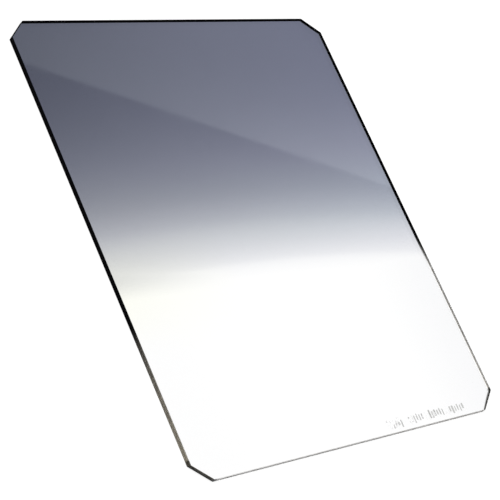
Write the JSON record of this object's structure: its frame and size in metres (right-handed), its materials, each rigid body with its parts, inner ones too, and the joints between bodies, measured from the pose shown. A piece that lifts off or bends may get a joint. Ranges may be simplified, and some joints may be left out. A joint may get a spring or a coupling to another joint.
{
  "type": "slot-in graduated neutral-density filter",
  "caption": "Flat, nearly square sheet of optical resin with clipped corners, tinted dark grey at one end and fading through a soft step to a clear end, for a slotted lens filter holder.",
  "frame": {"origin": "centre of the lower face, which lies on the ground plane", "axes": "+X across the holder's slot, +Y along the slot towards the dark end, +Z out of the upper face"},
  "size_m": [0.15, 0.17, 0.002],
  "materials": {
    "tinted_resin": "polished"
  },
  "bodies": {
    "root": {"filter_plate": "tinted_resin"}
  },
  "joints": []
}
